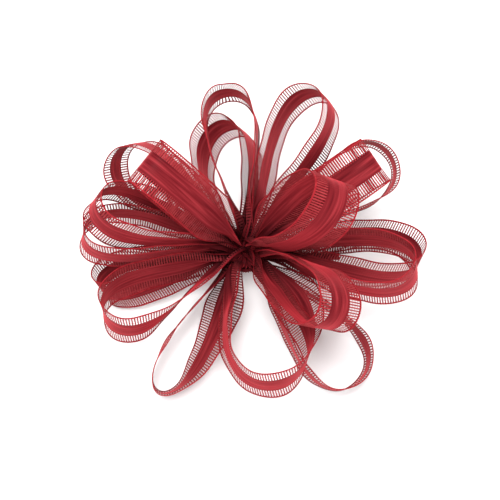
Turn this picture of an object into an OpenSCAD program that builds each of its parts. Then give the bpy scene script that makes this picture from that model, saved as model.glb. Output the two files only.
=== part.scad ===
// Pre-made gift bow: loops of one ribbon that are gathered at a tied waist and spread out all round,
// and a wire tie under the waist whose two legs fasten the bow to a parcel.

/* [Ribbon] */
// Width of the ribbon
ribbon_w = 22; // [18:1:22]
// Thickness of the ribbon's solid
ribbon_t = 0.4; // [0.3:0.05:0.4]
// Width of a loop's leg where it is gathered into the waist
pinched_w = 3.5; // [2.5:0.5:3.5]
// Length over which a leg opens from its gathered width to its full width
opening_len = 34; // [32:1:40]

/* [Loops] */
// Usual reach of a loop from the waist's centre
loop_reach = 74; // [72:1:76]
// Usual width of a loop's open eye
loop_eye = 24; // [22:1:26]

/* [Waist] */
// Radius of the bunched ribbon at the waist
bunch_r = 10.5; // [10:0.5:11]
// Radius of the neck under the bunch, which the tie is wound round
neck_r = 4.5; // [4:0.25:5]
// Depth of the neck's flat underside below the waist's centre
neck_depth = 17.4; // [17:0.2:18]

/* [Tie] */
// Diameter of the covered wire
tie_wire_d = 1.4; // [1.2:0.1:1.4]
// Number of turns round the neck
tie_turns = 3; // [2:1:3]
// Length of each leg from its bend to its tip
leg_len = 34; // [30:1:46]
// Width of a leg's flat cover
leg_w = 3.5; // [3:0.25:3.5]
// Thickness of a leg's flat cover
leg_t = 0.7; // [0.65:0.05:0.8]
// Diameter of the steel wire inside a leg
core_d = 0.5; // [0.4:0.05:0.5]

/* [Hidden] */
// One row for each loop, in order round the bow from its back, seen from above and turning clockwise:
// azimuth, rise above the horizontal, how much more it reaches than loop_reach, how much wider its
// eye is than loop_eye, belly (how far out the eye is widest), spin about the loop's own axis,
// droop of the tip, roll of the left leg, roll of the right leg. Lengths are in mm, angles in degrees.
LOOPS = [
    [  97,  14.0,  1,  -1, 2.2,  -6, 11,    0,  0],
    [ 100, -16.5, -1,   2, 1.4, -28,  0,    0,  0],
    [  65,   9.0,  4,   0, 2.4, -20,  0,    0,  0],
    [  24,  33.0, -2, -10, 1.8, -64,  0,    0,  0],
    [  33,   4.0,  3,   3, 2.8,  18,  0,   -4,  4],
    [  -4,  60.0,  1,   2, 1.4,  -4,  0,    0,  0],
    [   3, -15.5,  7,   0, 2.4, -14,  0,   -4, -4],
    [ -12,   8.0,  2,   1, 2.2,  -4,  0,    0,  0],
    [ -51,  36.5,  1,   0, 1.8,  41,  0,   -8, 12],
    [ -48, -17.0,  3,   5, 2.4,   4,  0,    0,  0],
    [ -78,   9.5, -5,  12, 1.0,   7,  0, -138, 50],
    [-123, -17.5,  0,  -7, 1.8, -14,  0,  -80,  0],
    [-150,   4.0, -4,   2, 2.8,  14,  0,  -60,  0],
    [-172, -19.0, -4,  -8, 3.0,  16,  0,    0,  0],
    [ 178,  15.0, -2,  -3, 2.4,   0,  8,    0,  0],
    [ 174,  26.0, -1,  -3, 2.4,   5,  0,    0,  0],
    [ 141,  -2.0,  0,   1, 2.4, -38,  0,    0,  0],
    [ 158,  51.0, -3,  -8, 2.0,  68,  0,    0,  0]
];
AZIMUTH = 0;
RISE = 1;
LONGER = 2;
WIDER = 3;
BELLY = 4;
SPIN = 5;
DROOP = 6;
ROLL_LEFT = 7;
ROLL_RIGHT = 8;

// Cross-sections along each loop, and the step in angle that measures its direction
loop_rings = 58;
direction_step = 0.1;
// Depth to which a loop's ends run into the bunched waist
root_depth = 2;
root_r = bunch_r - root_depth;

// The legs leave the tie where the loops above leave room for them to bend down
LEG_AZIMUTHS = [2, 167];
LEG_NAMES = ["right", "left"];
leg_depth = neck_depth - 4;
// Depth to which the tie bites into the ribbon that it holds
tie_bite = 0.1;
coil_r = neck_r + tie_wire_d / 2 - tie_bite;
turn_pitch = tie_wire_d - 0.1;
bend_gap = 0.4;
stub_end = coil_r + tie_wire_d / 2 + 1;
bend_r = stub_end + bend_gap + tie_wire_d / 2;
core_inset = 2;

ribbon_red = [0.62, 0.10, 0.13];
waist_red = [0.30, 0.05, 0.07];
tie_red = [0.50, 0.08, 0.11];
steel_grey = [0.62, 0.63, 0.65];

function two_digits(n) = n < 10 ? str("0", n) : str(n);
LOOP_NAMES = [for (i = [1 : len(LOOPS)]) str("loop_", two_digits(i))];

// A point given along, across and above a loop's axis, turned to where the axis points
function turned(p, azimuth, rise) =
    let (
        along = p.x * cos(rise) - p.z * sin(rise),
        up = p.x * sin(rise) + p.z * cos(rise)
    )
    [along * cos(azimuth) - p.y * sin(azimuth), along * sin(azimuth) + p.y * cos(azimuth), up];

// How far out along its reach a loop is, from 0 to 1, as the angle runs from 0 to 360
function share_out(angle) = (1 - cos(angle)) / 2;

// Greatest value of sin(angle) * sin(angle / 2) ^ belly
function belly_peak(belly) = 2 * pow((belly + 1) / (belly + 2), (belly + 1) / 2) / sqrt(belly + 2);

function reach_of(loop) = loop_reach + loop[LONGER];

function rise_at(loop, angle) = loop[RISE] - loop[DROOP] * pow(share_out(angle), 2);

// Centre line of a loop, measured from the waist's centre
function loop_point(loop, angle) =
    let (
        bulge = sin(angle) * pow(sin(angle / 2), loop[BELLY]) / belly_peak(loop[BELLY]),
        side = (loop_eye + loop[WIDER]) / 2 * bulge
    )
    turned(
        [reach_of(loop) * share_out(angle), side * cos(loop[SPIN]), side * sin(loop[SPIN])],
        loop[AZIMUTH], rise_at(loop, angle)
    );

function unit(v) = v / norm(v);

function direction_at(loop, angle) =
    unit(loop_point(loop, angle + direction_step) - loop_point(loop, angle - direction_step));

// Direction across the ribbon's width, square to the centre line and rolled about it
function across_at(loop, angle) =
    let (
        plain = turned([0, -sin(loop[SPIN]), cos(loop[SPIN])], loop[AZIMUTH], rise_at(loop, angle)),
        along = direction_at(loop, angle),
        square = unit(plain - (plain * along) * along),
        most_roll = angle < 180 ? loop[ROLL_LEFT] : loop[ROLL_RIGHT],
        roll = most_roll * pow(cos(angle / 2), 2)
    )
    square * cos(roll) + cross(along, square) * sin(roll);

// Width of the ribbon, which opens smoothly from the waist outwards
function width_at(loop, angle) =
    let (
        opened = (reach_of(loop) * share_out(angle) - root_r) / opening_len,
        s = min(max(opened, 0), 1)
    )
    pinched_w + (ribbon_w - pinched_w) * s * s * (3 - 2 * s);

// The four corners of the ribbon's section
function ring_at(loop, angle) =
    let (
        centre = loop_point(loop, angle),
        across = across_at(loop, angle) * width_at(loop, angle) / 2,
        through = cross(direction_at(loop, angle), across_at(loop, angle)) * ribbon_t / 2
    )
    [centre - across - through, centre + across - through, centre + across + through,
     centre - across + through];

function loop_corners(loop) =
    let (
        start = acos(1 - 2 * root_r / reach_of(loop)),
        step = (360 - 2 * start) / (loop_rings - 1)
    )
    [for (i = [0 : loop_rings - 1]) each ring_at(loop, start + i * step)];

// The upper face is split along the lower one's diagonals, so that a twisted band keeps its thickness
function side_faces() = [
    for (i = [0 : loop_rings - 2])
        for (k = [0 : 3])
            let (a = 4 * i + k, b = 4 * i + (k + 1) % 4)
            each k == 2 ? [[a, a + 4, b], [b, a + 4, b + 4]] : [[a, b + 4, b], [a, a + 4, b + 4]]
];

function end_faces() =
    let (last = 4 * (loop_rings - 1))
    [[0, 1, 2], [0, 2, 3], [last, last + 2, last + 1], [last, last + 3, last + 2]];

// The waist stands where the lowest loops touch the floor and the bow is centred over the origin
LOOP_CORNERS = [for (loop = LOOPS) loop_corners(loop)];
ALL_CORNERS = [for (corners = LOOP_CORNERS) each corners];
function lowest(axis) = min([for (corner = ALL_CORNERS) corner[axis]]);
function highest(axis) = max([for (corner = ALL_CORNERS) corner[axis]]);
waist = [-(lowest(0) + highest(0)) / 2, -(lowest(1) + highest(1)) / 2, -lowest(2)];

module ribbon_loop(corners) {
    color(ribbon_red)
        translate(waist)
            polyhedron(corners, concat(side_faces(), end_faces()));
}

// The bunched folds above and the neck that they are drawn down into
module gathered_waist() {
    neck_h = neck_depth - sqrt(bunch_r * bunch_r - neck_r * neck_r) + 1;
    color(waist_red)
        translate(waist)
            union() {
                sphere(r = bunch_r, $fn = 96);
                translate([0, 0, -neck_depth])
                    cylinder(r = neck_r, h = neck_h, $fn = 64);
            }
}

// Out along a leg's direction, level with the middle of the tie
module at_leg(azimuth, r) {
    translate(waist - [0, 0, leg_depth])
        rotate([0, 0, azimuth])
            translate([r, 0, 0])
                children();
}

// Turns of covered wire round the neck, with a stub where each leg leaves
module tie_coil() {
    color(tie_red)
        union() {
            for (i = [0 : tie_turns - 1])
                translate(waist + [0, 0, (i - (tie_turns - 1) / 2) * turn_pitch - leg_depth])
                    rotate_extrude($fn = 64)
                        translate([coil_r, 0])
                            circle(d = tie_wire_d, $fn = 32);
            for (azimuth = LEG_AZIMUTHS)
                at_leg(azimuth, coil_r)
                    rotate([0, 90, 0])
                        cylinder(d = tie_wire_d, h = stub_end - coil_r, $fn = 32);
        }
}

module leg_core() {
    translate([core_inset, 0, 0])
        rotate([0, 90, 0])
            cylinder(d = core_d, h = leg_len - 2 * core_inset, $fn = 32);
}

// Flat cover with a rounded bend at its inner end, closed round its steel wire
module tie_leg(azimuth) {
    color(tie_red)
        at_leg(azimuth, bend_r)
            difference() {
                union() {
                    translate([0, -leg_w / 2, -leg_t / 2])
                        cube([leg_len, leg_w, leg_t]);
                    translate([0, leg_w / 2, 0])
                        rotate([90, 0, 0])
                            cylinder(d = tie_wire_d, h = leg_w, $fn = 32);
                }
                leg_core();
            }
}

module tie_core(azimuth) {
    color(steel_grey)
        at_leg(azimuth, bend_r)
            leg_core();
}

for (i = [0 : len(LOOPS) - 1])
    ribbon_loop(LOOP_CORNERS[i]);
gathered_waist();
tie_coil();
for (i = [0 : len(LEG_NAMES) - 1])
    tie_leg(LEG_AZIMUTHS[i]);
for (i = [0 : len(LEG_NAMES) - 1])
    tie_core(LEG_AZIMUTHS[i]);
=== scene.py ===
import math

import bpy
import numpy as np
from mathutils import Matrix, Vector


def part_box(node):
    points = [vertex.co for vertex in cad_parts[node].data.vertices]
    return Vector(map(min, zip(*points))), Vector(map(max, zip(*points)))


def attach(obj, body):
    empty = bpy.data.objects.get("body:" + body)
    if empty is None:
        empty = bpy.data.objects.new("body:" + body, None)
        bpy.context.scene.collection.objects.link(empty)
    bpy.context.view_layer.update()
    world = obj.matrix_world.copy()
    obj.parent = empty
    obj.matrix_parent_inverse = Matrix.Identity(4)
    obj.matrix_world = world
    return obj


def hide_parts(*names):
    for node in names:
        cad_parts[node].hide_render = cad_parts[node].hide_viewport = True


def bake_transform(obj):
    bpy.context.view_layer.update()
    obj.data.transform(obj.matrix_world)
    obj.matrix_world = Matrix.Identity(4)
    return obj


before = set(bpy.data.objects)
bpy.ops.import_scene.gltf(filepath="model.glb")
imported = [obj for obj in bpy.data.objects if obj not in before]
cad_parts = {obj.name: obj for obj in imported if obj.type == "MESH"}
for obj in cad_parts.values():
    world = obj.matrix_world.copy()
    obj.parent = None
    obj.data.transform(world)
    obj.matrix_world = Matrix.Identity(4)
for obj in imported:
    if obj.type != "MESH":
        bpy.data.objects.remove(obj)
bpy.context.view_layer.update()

MM = 0.001

# The ribbon's weave, in mm: a satin stripe, and on each side of it a sheer band and a selvedge
RIBBON_W = 22.0
SATIN_HALF = 4.9  # half the width of the stripe
SATIN_T = 0.14
WEFT_PITCH = 1.15  # from one thread across a sheer band to the next
WEFT_W = 0.54
WEFT_T = 0.24
WEFT_OVERLAP = 0.1  # how far each weft runs into the stripe and the selvedge
WARPS = (6.3, 7.7, 9.1)  # where the fine threads along a sheer band are, from the centre line
WARP_W = 0.07
SELVEDGE_IN = 10.4  # from the centre line to the inner edge of a selvedge
SELVEDGE_T = 0.42
SELVEDGE_NOTCH = 0.05  # how far its outer edge goes in and out of line

# How a loop's two legs come in to the waist, in mm
INNER_R = 1.5  # how far out from the waist, along the loop's axis, they end
PINCHED_W = 6.5  # the ribbon's width where they end
ROOT_R = 6.0  # how far out the ribbon starts to open
OPENING_LEN = 25.0  # the distance over which it opens to its full width
PLEAT_LEN = 10.5  # from one pleat to the next, on the flat ribbon
PLEAT_DEPTH = 2.3
ROOT_SCATTER = (3.4, 3.4, 2.04)  # how far a leg strays at the waist from the loop's even shape, in X, Y and Z
SCATTER_LEN = 26.0  # how far out it still strays
DIVE_DEPTH = 9.0  # how far a leg would sink into the neck by the waist's middle
DIVE_R = 13.0  # how far out it starts to sink

# How the open ribbon undulates, in mm. Each wave is (height, distance in which it turns by one radian).
EDGE_WAVES = ((0.28, 5.1), (0.2, 2.9))  # along the ribbon, highest at its edges
SWELL = (0.3, 8.3)  # along the ribbon, and it also rises and falls across it
RIDGE_HEIGHT = 0.03
RIDGE_LEN = 3.4  # from one lengthwise ridge to the next

ANGLE_STEPS = 4000  # how finely a loop's length is measured
UV_UNIT = 100  # mm on the flat ribbon for each unit of its texture

# One row for each loop, in mm and degrees: azimuth, counterclockwise from +X; rise of its axis above level;
# reach from the waist; width of its eye; belly, larger for an eye that is widest further out; spin of the
# eye about the axis; droop of the tip; and roll of the ribbon at the root of its left and of its right leg.
LOOPS = [
    (97, 14.0, 75, 23, 2.2, -6, 11, 0, 0),
    (100, -16.5, 73, 26, 1.4, -28, 0, 0, 0),
    (65, 9.0, 78, 24, 2.4, -20, 0, 0, 0),
    (24, 33.0, 72, 14, 1.8, -64, 0, 0, 0),
    (33, 4.0, 77, 27, 2.8, 18, 0, -4, 4),
    (-4, 60.0, 75, 26, 1.4, -4, 0, 0, 0),
    (3, -15.5, 81, 24, 2.4, -14, 0, -4, -4),
    (-12, 8.0, 76, 25, 2.2, -4, 0, 0, 0),
    (-51, 36.5, 75, 24, 1.8, 41, 0, -8, 12),
    (-48, -17.0, 77, 29, 2.4, 4, 0, 0, 0),
    (-78, 9.5, 69, 36, 1.0, 7, 0, -138, 50),
    (-123, -17.5, 74, 17, 1.8, -14, 0, -80, 0),
    (-150, 4.0, 70, 26, 2.8, 14, 0, -60, 0),
    (-172, -19.0, 70, 16, 3.0, 16, 0, 0, 0),
    (178, 15.0, 72, 21, 2.4, 0, 8, 0, 0),
    (174, 26.0, 73, 21, 2.4, 5, 0, 0, 0),
    (141, -2.0, 74, 25, 2.4, -38, 0, 0, 0),
    (158, 51.0, 71, 16, 2.0, 68, 0, 0, 0),
]

# The waist, which is the middle of the bunched ribbon, and what is below it, in mm and degrees
BUNCH_R = 10.5  # radius of the bunched ribbon
NECK_DEPTH = 17.4  # from the waist down to the foot of the neck
TIE_DEPTH = 13.4  # from the waist down to the middle of the tie
LEG_AZIMUTHS = {"right": 2, "left": 167}
low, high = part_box("gathered_waist")
WAIST = np.array([(low.x + high.x) / 2, (low.y + high.y) / 2, high.z - BUNCH_R * MM]) / MM
TIE_CENTRE = WAIST - (0, 0, TIE_DEPTH)


# ---------------------------------------------------------------- shapes of the ribbon

def unit(v):
    return v / np.linalg.norm(v, axis=-1, keepdims=True)


def smooth(u):
    """Eases from 0 to 1 as u goes from 0 to 1, and stays there outside."""
    u = np.clip(u, 0, 1)
    return u * u * (3 - 2 * u)


def turned(p, azimuth, rise):
    """Points given along, across and above a loop's axis, turned to where the axis points."""
    along = p[..., 0] * np.cos(rise) - p[..., 2] * np.sin(rise)
    up = p[..., 0] * np.sin(rise) + p[..., 2] * np.cos(rise)
    x = along * np.cos(azimuth) - p[..., 1] * np.sin(azimuth)
    y = along * np.sin(azimuth) + p[..., 1] * np.cos(azimuth)
    return np.stack([x, y, up], -1)


class Loop:
    """The shape of one ribbon loop, with places given in mm along it and across the flat ribbon."""

    def __init__(self, row, seed):
        azimuth, rise, self.reach, self.eye, self.belly, spin, droop, left, right = row
        angles = [math.radians(angle) for angle in (azimuth, rise, spin, droop, left, right)]
        self.azimuth, self.rise, self.spin, self.droop, self.roll_left, self.roll_right = angles
        # The greatest value of sin(angle) * sin(angle / 2) ** m, so that eye is the eye's true width
        m = self.belly
        self.peak = 2 * ((m + 1) / (m + 2)) ** ((m + 1) / 2) / math.sqrt(m + 2)
        random = np.random.default_rng(seed)
        self.scatter = random.uniform(-1, 1, (2, 3)) * ROOT_SCATTER
        start = math.acos(1 - 2 * INNER_R / self.reach)
        self.table = np.linspace(start, 2 * math.pi - start, ANGLE_STEPS)
        steps = np.linalg.norm(np.diff(self.centre(self.table), axis=0), axis=1)
        self.lengths = np.concatenate([[0], np.cumsum(steps)])
        self.length = self.lengths[-1]
        self.pleat_phase = random.uniform(0, 2 * math.pi, 2)
        self.pleat_len = PLEAT_LEN * random.uniform(0.85, 1.2, 2)
        self.flutter_phase = random.uniform(0, 2 * math.pi, 4)

    def share(self, angle):
        """How far out along the loop's axis a point is, from 0 at the waist to 1 at the tip."""
        return (1 - np.cos(angle)) / 2

    def rise_at(self, angle):
        return self.rise - self.droop * self.share(angle) ** 2

    def centre(self, angle):
        """Points of the centre line, as angle goes from near 0 to near 360 degrees round the loop."""
        out = self.reach * self.share(angle)
        half = np.sin(angle) * np.abs(np.sin(angle / 2)) ** self.belly / self.peak * self.eye / 2
        p = np.stack([out, half * math.cos(self.spin), half * math.sin(self.spin)], -1)
        leg = (angle > math.pi).astype(int)
        scatter = self.scatter[leg] * smooth(1 - out / SCATTER_LEN)[..., None]
        dive = DIVE_DEPTH * np.clip(1 - out / DIVE_R, 0, 1) ** 2
        down = dive[..., None] * (0, 0, 1)
        return WAIST + turned(p, self.azimuth, self.rise_at(angle)) + scatter - down

    def section(self, s):
        """Centre, direction across, normal and narrowing (1 = full width) at lengths s along the loop."""
        angle = np.interp(s, self.lengths, self.table)
        along = unit(self.centre(angle + 1e-3) - self.centre(angle - 1e-3))
        plain = np.zeros(angle.shape + (3,))
        plain[..., 1] = -math.sin(self.spin)
        plain[..., 2] = math.cos(self.spin)
        plain = turned(plain, self.azimuth, self.rise_at(angle))
        across = unit(plain - (plain * along).sum(-1, keepdims=True) * along)
        most = np.where(angle < math.pi, self.roll_left, self.roll_right)
        roll = (most * np.cos(angle / 2) ** 2)[..., None]
        across = across * np.cos(roll) + np.cross(along, across) * np.sin(roll)
        opened = smooth((self.reach * self.share(angle) - ROOT_R) / OPENING_LEN)
        width = PINCHED_W + (RIBBON_W - PINCHED_W) * opened
        return self.centre(angle), across, np.cross(along, across), width / RIBBON_W

    def surface(self, s, t, lift=0.0):
        """Points of the ribbon at length s and flat distance t from its centre line, raised by lift."""
        s, t = np.broadcast_arrays(s, t)
        centre, across, normal, narrow = self.section(s)
        height = self.pleat(s, t, narrow) + self.flutter(s, t) * narrow ** 4 + lift
        return centre + across * (t * narrow)[..., None] + normal * height[..., None]

    def pleat(self, s, t, narrow):
        """Height of the pleats, which deepen as the ribbon narrows and wander a little along it."""
        leg = (s > self.length / 2).astype(int)
        fold = np.maximum(0, 1 - narrow) ** 0.8
        phase = 2 * math.pi * t / self.pleat_len[leg] + self.pleat_phase[leg]
        first = np.sin(phase + 0.7 * np.sin(0.31 * t + s / 9))
        second = 0.2 * np.sin(2.3 * phase + s / 7)
        return PLEAT_DEPTH * fold * (first + second)

    def flutter(self, s, t):
        """Height of the open ribbon's waves, swell and ridges."""
        a, b, c, d = self.flutter_phase
        wave = sum(height * np.sin(s / length + phase) for (height, length), phase in zip(EDGE_WAVES, (a, b)))
        swell = SWELL[0] * np.sin(s / SWELL[1] + c) * np.cos(t / 4 + d)
        ridge = RIDGE_HEIGHT * np.sin(2 * math.pi * t / RIDGE_LEN + 1.4 * np.sin(s / 17 + a) + d)
        return wave * t / (RIBBON_W / 2) + swell + ridge


# ---------------------------------------------------------------- building meshes

# A ribbon's materials, in the order in which its piece holds them
SATIN_SLOT, WEFT_SLOT, SELVEDGE_SLOT = 0, 1, 2


class Build:
    """Gathers closed tubes, each a stack of rings of points, into one piece."""

    def __init__(self):
        self.points, self.faces, self.uvs, self.slots = [], [], [], []
        self.count = 0

    def tubes(self, rings, uv, slot=0):
        """Adds capped tubes, in mm: rings is (tubes, rings, points, 3), uv is (tubes, rings, points, 2)."""
        n, r, k, _ = rings.shape
        index = np.arange(n * r * k).reshape(n, r, k) + self.count
        beside = np.roll(index, -1, axis=2)
        sides = np.stack([index[:, :-1], beside[:, :-1], beside[:, 1:], index[:, 1:]], -1)
        parts = [sides.reshape(-1, 4)]
        for ring, flip in ((index[:, 0], True), (index[:, -1], False)):
            for i in range(k // 2 - 1):
                quad = np.stack([ring[:, i], ring[:, i + 1], ring[:, k - 2 - i], ring[:, k - 1 - i]], -1)
                parts.append(quad[:, ::-1] if flip else quad)
        faces = np.concatenate(parts)
        self.points.append(rings.reshape(-1, 3))
        self.uvs.append(uv.reshape(-1, 2) / UV_UNIT)
        self.faces.append(faces)
        self.slots.append(np.full(len(faces), slot))
        self.count += n * r * k

    def finish(self, name, materials, sharp=50):
        """Makes the piece. Edges sharper than the angle sharp, in degrees, aren't smoothed."""
        points = np.concatenate(self.points) * MM
        faces = np.concatenate(self.faces)
        uvs = np.concatenate(self.uvs)
        mesh = bpy.data.meshes.new(name)
        mesh.vertices.add(len(points))
        mesh.vertices.foreach_set("co", points.ravel())
        mesh.loops.add(faces.size)
        mesh.loops.foreach_set("vertex_index", faces.ravel())
        mesh.polygons.add(len(faces))
        mesh.polygons.foreach_set("loop_start", np.arange(len(faces)) * 4)
        mesh.polygons.foreach_set("loop_total", np.full(len(faces), 4))
        mesh.polygons.foreach_set("material_index", np.concatenate(self.slots))
        mesh.update(calc_edges=True)
        layer = mesh.uv_layers.new(name="UVMap")
        layer.data.foreach_set("uv", uvs[faces.ravel()].ravel())
        for material in materials:
            mesh.materials.append(material)
        mesh.shade_smooth()
        mesh.set_sharp_from_angle(angle=math.radians(sharp))
        piece = bpy.data.objects.new(name, mesh)
        bpy.context.scene.collection.objects.link(piece)
        return piece


def strip(loop, s, edges, thickness):
    """Rings round a flat strip along the loop, which spans the flat distances in edges."""
    s = s[:, None]
    edges = np.broadcast_to(edges, (len(s), np.shape(edges)[-1]))
    top = loop.surface(s, edges, thickness / 2)
    bottom = loop.surface(s, edges[:, ::-1], -thickness / 2)
    uv = np.stack(np.broadcast_arrays(s, np.concatenate([edges, edges[:, ::-1]], 1)), -1)
    return np.concatenate([top, bottom], 1)[None], uv[None]


def add_satin(build, loop):
    s = np.linspace(0, loop.length, int(loop.length) + 1)
    build.tubes(*strip(loop, s, np.linspace(-SATIN_HALF, SATIN_HALF, 13), SATIN_T), SATIN_SLOT)


def add_wefts(build, loop, side):
    """The threads across one sheer band, each a thin diamond rod."""
    s = np.arange(WEFT_PITCH / 2, loop.length, WEFT_PITCH)[:, None, None]
    s = s + np.array([-WEFT_W / 2, 0, WEFT_W / 2, 0])
    t = side * np.linspace(SATIN_HALF - WEFT_OVERLAP, SELVEDGE_IN + WEFT_OVERLAP, 5)[None, :, None]
    lift = np.array([0, WEFT_T / 2, 0, -WEFT_T / 2])
    build.tubes(loop.surface(s, t, lift), np.stack(np.broadcast_arrays(s, t), -1), WEFT_SLOT)


def add_warps(build, loop, side):
    """The fine threads along one sheer band, which keep its wefts apart."""
    s = np.linspace(0, loop.length, int(loop.length) + 1)
    for warp in WARPS:
        edges = side * warp + np.array([-WARP_W / 2, WARP_W / 2])
        build.tubes(*strip(loop, s, edges, WARP_W), WEFT_SLOT)


def add_selvedge(build, loop, side):
    """One edge of the ribbon, with about one shallow notch for each weft."""
    s = np.linspace(0, loop.length, int(loop.length / WEFT_PITCH * 2) + 1)
    notch = SELVEDGE_NOTCH * np.cos(np.arange(len(s)) * math.pi)
    edges = side * np.stack([SELVEDGE_IN + 0 * notch, RIBBON_W / 2 + notch], -1)
    build.tubes(*strip(loop, s, edges, SELVEDGE_T), SELVEDGE_SLOT)


def ribbon_loop(name, row, seed):
    """One loop of woven ribbon."""
    loop = Loop(row, seed)
    build = Build()
    add_satin(build, loop)
    for side in (-1, 1):
        add_wefts(build, loop, side)
        add_warps(build, loop, side)
        add_selvedge(build, loop, side)
    piece = build.finish(name, [satin, weft, selvedge])
    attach(piece, "bow")
    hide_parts(name.replace("ribbon_", "loop_"))


# ---------------------------------------------------------------- materials

# Where shade is painted into the cloth's colour, in metres
HOLLOW_DEPTH = 0.012  # how near other cloth has to be to shade it
SHADED_R = 0.05  # how far from the waist it is still shaded a little


class Shader:
    """A material whose nodes are added by type and linked as they are made."""

    def __init__(self, name):
        self.material = bpy.data.materials.new(name)
        self.material.use_nodes = True
        self.tree = self.material.node_tree
        self.surface = self.tree.nodes["Principled BSDF"]

    def set(self, node, socket, value):
        if isinstance(value, bpy.types.NodeSocket):
            self.tree.links.new(value, node.inputs[socket])
        else:
            node.inputs[socket].default_value = value

    def add(self, kind, inputs=None, **settings):
        node = self.tree.nodes.new(kind)
        for key, value in settings.items():
            setattr(node, key, value)
        for socket, value in (inputs or {}).items():
            self.set(node, socket, value)
        return node

    def stretched_uv(self, along, across):
        uv = self.add("ShaderNodeTexCoord").outputs["UV"]
        return self.add("ShaderNodeMapping", {"Vector": uv, "Scale": (along, across, 1)}).outputs["Vector"]

    def noise(self, vector, scale=1.0, detail=2.0):
        node = self.add("ShaderNodeTexNoise", {"Vector": vector, "Scale": scale, "Detail": detail})
        return node.outputs["Fac"]

    def ramp(self, factor, stops):
        node = self.add("ShaderNodeValToRGB", {"Fac": factor})
        while len(node.color_ramp.elements) < len(stops):
            node.color_ramp.elements.new(0.5)
        for element, (position, colour) in zip(node.color_ramp.elements, stops):
            element.position = position
            element.color = (*colour, 1)
        return node.outputs["Color"]

    def math(self, operation, a, b=0.0, c=0.0):
        return self.add("ShaderNodeMath", {0: a, 1: b, 2: c}, operation=operation).outputs["Value"]

    def bump(self, height, strength, distance):
        node = self.add("ShaderNodeBump", {"Height": height, "Strength": strength, "Distance": distance})
        self.set(self.surface, "Normal", node.outputs["Normal"])

    def painted_fold_shade(self, colour):
        """Paints shade into a colour: deeper in the hollows, where other cloth is near, and towards the
        waist, where folds are drawn tight together.
        """
        hollow = self.add("ShaderNodeAmbientOcclusion", {"Distance": HOLLOW_DEPTH}, samples=6)
        shade = self.ramp(hollow.outputs["AO"],
                          [(0.1, (0.04, 0.05, 0.06)), (0.42, (0.40, 0.43, 0.45)), (0.8, (1, 1, 1))])
        position = self.add("ShaderNodeNewGeometry").outputs["Position"]
        offset = self.add("ShaderNodeVectorMath", {0: position, 1: tuple(WAIST * MM)}, operation="DISTANCE")
        painted_waist_shade = self.ramp(self.math("MULTIPLY", offset.outputs["Value"], 1 / SHADED_R),
                             [(0.1, (0.45, 0.52, 0.55)), (0.42, (0.72, 0.8, 0.8)), (0.9, (1, 1, 1))])
        return self.multiplied(self.multiplied(colour, shade), painted_waist_shade)

    def multiplied(self, a, b):
        """The product of two colours. The mix node's colour sockets are 6 and 7 in, and 2 out."""
        node = self.add("ShaderNodeMix", {0: 1.0, 6: a, 7: b}, data_type="RGBA", blend_type="MULTIPLY")
        return node.outputs[2]

    def finish(self, **sockets):
        for socket, value in sockets.items():
            self.set(self.surface, socket.replace("_", " "), value)
        return self.material


def satin_material():
    """Warp-faced satin: lengthwise streaks over fine cross ribs; the streaks vary roughness and bump, and are
    painted into the colour as lighter lines of sheen.
    """
    shader = Shader("satin")
    streaks_and_painted_sheen = shader.noise(shader.stretched_uv(3.0, 75.0), detail=5.0)
    ribs = shader.add("ShaderNodeTexWave", {"Vector": shader.stretched_uv(30.0, 0.5), "Scale": 1.0,
                                            "Distortion": 0.6, "Detail": 1.0}, wave_type="BANDS")
    # Painted sheen: the colour is lighter along the streaks.
    colour = shader.ramp(streaks_and_painted_sheen, [(0.34, (0.085, 0.005, 0.008)), (0.5, (0.15, 0.011, 0.015)),
                                   (0.66, (0.26, 0.024, 0.030))])
    # Painted shade: the satin is darker in the hollows and towards the waist.
    colour = shader.painted_fold_shade(colour)
    rough = shader.math("MULTIPLY_ADD", streaks_and_painted_sheen, 0.25, 0.34)
    height = shader.math("MULTIPLY_ADD", ribs.outputs["Fac"], 0.5, streaks_and_painted_sheen)
    shader.bump(height, 0.35, 0.0001)
    return shader.finish(Base_Color=colour, Roughness=rough, Sheen_Weight=0.55, Sheen_Roughness=0.5,
                         Sheen_Tint=(0.9, 0.06, 0.08, 1), Specular_IOR_Level=0.05, IOR=1.3)


def thread_material(name, dark, light, roughness):
    """Fine red yarn, with its colour varying along and between threads."""
    shader = Shader(name)
    grain = shader.noise(shader.stretched_uv(55.0, 35.0), detail=2.0)
    colour = shader.ramp(grain, [(0.3, dark), (0.7, light)])
    shader.bump(grain, 0.3, 0.00005)
    # Painted shade: the yarn is darker in the hollows and towards the waist.
    return shader.finish(Base_Color=shader.painted_fold_shade(colour), Roughness=roughness,
                         Specular_IOR_Level=0.03, IOR=1.3)


def steel_material():
    """Drawn steel wire, with fine scratches along it."""
    shader = Shader("steel_wire")
    grain = shader.noise(shader.add("ShaderNodeTexCoord").outputs["Object"], 900.0)
    colour = shader.ramp(grain, [(0.3, (0.42, 0.42, 0.44)), (0.7, (0.56, 0.56, 0.58))])
    shader.bump(grain, 0.2, 0.00002)
    return shader.finish(Base_Color=colour, Roughness=0.35, Metallic=1.0)


def floor_material():
    """A plain, nearly white surface."""
    shader = Shader("floor")
    grain = shader.noise(shader.add("ShaderNodeTexCoord").outputs["Object"], 3.0)
    colour = shader.ramp(grain, [(0.3, (0.93, 0.93, 0.93)), (0.7, (0.95, 0.95, 0.95))])
    return shader.finish(Base_Color=colour, Roughness=0.9)


satin = satin_material()
weft = thread_material("weft", (0.24, 0.019, 0.024), (0.34, 0.040, 0.045), 0.5)
selvedge = thread_material("selvedge", (0.24, 0.010, 0.016), (0.33, 0.022, 0.028), 0.45)
tie_cover = thread_material("tie_cover", (0.15, 0.007, 0.012), (0.22, 0.016, 0.022), 0.6)
steel = steel_material()


# ---------------------------------------------------------------- waist and tie

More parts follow.
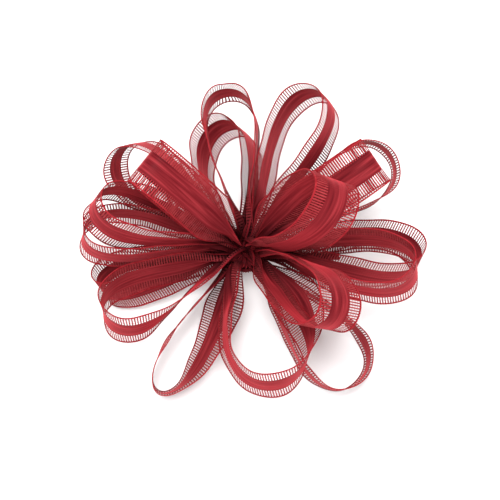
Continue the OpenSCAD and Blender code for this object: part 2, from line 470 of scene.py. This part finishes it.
# The gathers' outline, as (radius, height from the waist) in mm, from the middle of the cup out over its rim
# and down to the foot of the neck
OUTLINE = [(0.6, -3.0), (2.4, -1.2), (4.2, -1.6), (6.0, -1.2), (7.4, -1.6), (8.0, -2.4), (7.6, -3.6),
           (6.6, -5.0), (5.2, -8.0), (4.5, -10.6), (4.2, -13.4), (4.5, -15.6), (4.8, -NECK_DEPTH),
           (0.6, -NECK_DEPTH)]
FOLD_DEPTHS = {0: 0.1, 2: 0.6, 5: 0.9, 9: 0.5, 12: 0.3, 13: 0.05}  # mm, at some points of the outline
CUP_POINTS = 6  # how many points of the outline make the cup, whose rim is ruffled
FOLDS = 32
GATHERS_TEXTURE_R = 10 / 3  # mm, the radius at which the satin's streaks have their true width


def waist_gathers():
    """The ribbon's pleats where they are drawn together: a ruffled cup above and a pleated neck below."""
    along = np.linspace(0, len(OUTLINE) - 1, 60)
    r, z = (np.interp(along, range(len(OUTLINE)), column) for column in zip(*OUTLINE))
    depth = np.interp(along, list(FOLD_DEPTHS), list(FOLD_DEPTHS.values()))
    around = np.linspace(0, 2 * math.pi, FOLDS * 9, endpoint=False)
    folds = np.sin(FOLDS * around + 1.3 * np.sin(3 * around) + 0.8 * np.sin(7 * around + 1))
    ruffle = np.where(along < CUP_POINTS, 0.7 * depth, 0)[:, None] * np.cos(FOLDS / 2 * around + 2)
    radius = r[:, None] + depth[:, None] * folds
    height = np.maximum(z[:, None] + ruffle, -NECK_DEPTH)
    rings = np.stack([radius * np.cos(around), radius * np.sin(around), height], -1) + WAIST
    uv = np.stack(np.broadcast_arrays(along[:, None], around * GATHERS_TEXTURE_R), -1)
    build = Build()
    build.tubes(rings[None], uv[None])
    piece = build.finish("waist_gathers", [satin], sharp=180)
    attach(piece, "bow")
    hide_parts("gathered_waist")


# The tie's coil, in mm
COIL_TURNS = 3
COIL_R = 5.1  # from the neck's axis to the middle of the covered wire
COIL_H = 3.4  # from the first turn up to the last
COIL_HALF_W = 0.60  # half the covered wire's width
COIL_HALF_H = 0.66  # half its height
COIL_TEXTURE_R = 5.0  # the radius at which its texture has its true length


def tie_wrap():
    """The covered wire, crumpled a little, wound round the neck from one leg to the other."""
    first, last = (math.radians(LEG_AZIMUTHS[side]) for side in ("right", "left"))
    turn = np.linspace(0, 1, 400)[:, None]
    azimuth = first + turn * (last - first + COIL_TURNS * 2 * math.pi)
    ring = np.linspace(0, 2 * math.pi, 12, endpoint=False)
    crumple = 1 + 0.10 * np.sin(azimuth * 9) * np.cos(2 * ring) + 0.05 * np.sin(azimuth * 23 + 3 * ring)
    r = COIL_R + COIL_HALF_W * crumple * np.cos(ring)
    z = COIL_H * (turn - 0.5) + COIL_HALF_H * crumple * np.sin(ring)
    rings = np.stack([r * np.cos(azimuth), r * np.sin(azimuth), z], -1) + TIE_CENTRE
    uv = np.stack(np.broadcast_arrays(azimuth * COIL_TEXTURE_R, ring * COIL_HALF_W), -1)
    build = Build()
    build.tubes(rings[None], uv[None])
    piece = build.finish("tie_wrap", [tie_cover])
    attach(piece, "bow")
    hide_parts("tie_coil")


# A leg of the tie, in mm, with places along it measured from the neck's axis
LEG_START = 5.3  # where it leaves the coil
FLATTENING = (8.5, 12.5)  # where its round stem starts to flatten and has become a strip
LEG_HALF_W = 1.75  # half the width of its CAD solid
LEG_TIP_GAP = 0.2  # how far it stops short of that solid's tip
STEM_HALF_W = 0.7
STEM_HALF_T = 0.62
STRIP_HALF_W = 1.7
STRIP_HALF_T = 0.10
WIRE_RIDGE = 0.27  # how far the wire raises the strip along its middle
WIRE_RIDGE_HALF_W = 0.42


def leg_reach(side):
    """How far the leg's tip is from the waist's axis, from the far corner of its CAD solid's box."""
    low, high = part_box("tie_leg_" + side)
    corners = [(x / MM - WAIST[0], y / MM - WAIST[1]) for x in (low.x, high.x) for y in (low.y, high.y)]
    far = max(math.hypot(x, y) for x, y in corners)
    return math.sqrt(far ** 2 - LEG_HALF_W ** 2) - LEG_TIP_GAP


def tie_leg(side):
    """A leg's flat paper cover with its wire's ridge along the middle, flattening from a round stem where it
    leaves the neck.
    """
    azimuth = math.radians(LEG_AZIMUTHS[side])
    x = np.linspace(LEG_START, leg_reach(side), 90)[:, None]
    t = np.linspace(-1, 1, 13)
    flatness = np.clip((x - FLATTENING[0]) / (FLATTENING[1] - FLATTENING[0]), 0, 1)
    half = STEM_HALF_W + (STRIP_HALF_W - STEM_HALF_W) * smooth(flatness)
    half = half + 0.05 * np.sin(x * 1.7) + 0.03 * np.sin(x * 4.1 + 1)
    stem = STEM_HALF_T * np.sqrt(1.02 - t ** 2)
    strip_t = STRIP_HALF_T + WIRE_RIDGE * np.exp(-(t * STRIP_HALF_W / WIRE_RIDGE_HALF_W) ** 2)
    thick = stem * (1 - flatness) + strip_t * flatness
    wave = 0.14 * np.sin(x * 0.9 + 2 * t) * t ** 2 * flatness
    top = np.stack(np.broadcast_arrays(x, half * t, wave + thick), -1)
    bottom = np.stack(np.broadcast_arrays(x, half * t, wave - thick), -1)[:, ::-1]
    local = np.concatenate([top, bottom], 1)
    build = Build()
    build.tubes((turned(local, azimuth, 0.0) + TIE_CENTRE)[None], local[None, ..., :2])
    piece = build.finish("tie_strip_" + side, [tie_cover])
    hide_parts("tie_leg_" + side)
    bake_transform(piece)


def steel_core(side):
    """The wire sealed in a leg is the CAD solid itself, seen only where a leg is cut open."""
    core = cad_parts["tie_core_" + side]
    core.data.materials.clear()
    core.data.materials.append(steel)


waist_gathers()
tie_wrap()
for side in LEG_AZIMUTHS:
    tie_leg(side)
    steel_core(side)
for number, row in enumerate(LOOPS, 1):
    ribbon_loop(f"ribbon_{number:02d}", row, number)


# ---------------------------------------------------------------- stage

FLOOR_HALF = 3  # half the floor's side, in metres

# The camera
SENSOR = 36  # mm
LENS = 130.9  # mm
VIEW_DISTANCE = 0.8  # metres
VIEW_ELEVATION = 68  # degrees above level
VIEW_OFFSET = (0.0018, -0.0009, 0)  # from the waist to what it looks at, in metres


def add_floor():
    corners = [(x * FLOOR_HALF, y * FLOOR_HALF, 0) for x, y in ((-1, -1), (1, -1), (1, 1), (-1, 1))]
    mesh = bpy.data.meshes.new("floor")
    mesh.from_pydata(corners, [], [(0, 1, 2, 3)])
    mesh.materials.append(floor_material())
    floor = bpy.data.objects.new("floor", mesh)
    bpy.context.scene.collection.objects.link(floor)


def add_light(name, azimuth, elevation, distance, size, energy):
    """A round light aimed at the waist, placed by degrees from the front and above level, and metres."""
    light = bpy.data.lights.new(name, "AREA")
    light.shape = "DISK"
    light.size = size
    light.energy = energy
    lamp = bpy.data.objects.new(name, light)
    a, e = math.radians(azimuth), math.radians(elevation)
    direction = Vector((math.sin(a) * math.cos(e), -math.cos(a) * math.cos(e), math.sin(e)))
    lamp.location = Vector(WAIST * MM) + direction * distance
    lamp.rotation_euler = (-direction).to_track_quat("-Z", "Y").to_euler()
    bpy.context.scene.collection.objects.link(lamp)


def add_camera():
    camera = bpy.data.cameras.new("camera")
    camera.sensor_width = SENSOR
    camera.lens = LENS
    camera.clip_start = 0.05
    holder = bpy.data.objects.new("camera", camera)
    elevation = math.radians(VIEW_ELEVATION)
    away = Vector((0, -math.cos(elevation), math.sin(elevation)))
    holder.location = Vector(WAIST * MM) + Vector(VIEW_OFFSET) + away * VIEW_DISTANCE
    holder.rotation_euler = (-away).to_track_quat("-Z", "Y").to_euler()
    bpy.context.scene.collection.objects.link(holder)
    bpy.context.scene.camera = holder


def add_world():
    """Even white light from all round."""
    world = bpy.data.worlds.new("studio")
    world.use_nodes = True
    background = world.node_tree.nodes["Background"]
    background.inputs["Color"].default_value = (1, 1, 1, 1)
    background.inputs["Strength"].default_value = 1.0
    bpy.context.scene.world = world


add_floor()
add_camera()
add_light("key", azimuth=-12, elevation=78, distance=1.2, size=0.45, energy=15)
add_light("rim", azimuth=165, elevation=60, distance=1.3, size=0.5, energy=2.7)
add_world()
bpy.context.scene.view_settings.view_transform = "Standard"
